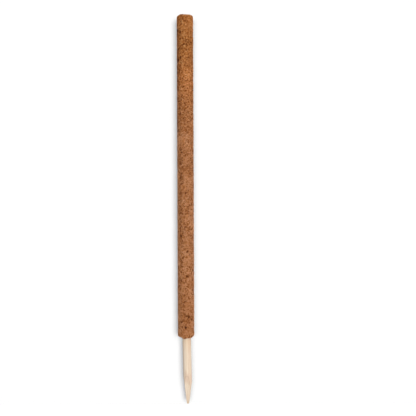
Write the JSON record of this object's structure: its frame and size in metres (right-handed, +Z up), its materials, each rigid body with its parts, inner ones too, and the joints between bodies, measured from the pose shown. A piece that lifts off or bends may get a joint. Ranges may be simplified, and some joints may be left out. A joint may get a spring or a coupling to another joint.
{
  "type": "moss pole",
  "caption": "Coir-felt moss pole: a fibre sleeve glued round a hollow core tube, on a nailed wooden stake with a hand-cut point that pushes into a plant pot's soil.",
  "frame": {"origin": "on the pole's axis at the coir mat's lower end, the soil line", "axes": "+Z up along the pole, -Y the front with the nail, +X to the right as seen from the front"},
  "size_m": [0.034, 0.034, 0.8],
  "materials": {
    "coir": "matt needled coconut fibre",
    "wood": "bare pale softwood",
    "plastic": "satin extruded pipe",
    "latex": "dried glue",
    "steel": "dull wire nail"
  },
  "bodies": {
    "root": {"coir_mat": "coir", "core_tube": "plastic", "wooden_stake": "wood", "stake_nail": "steel", "seam_glue": "latex"}
  },
  "joints": []
}
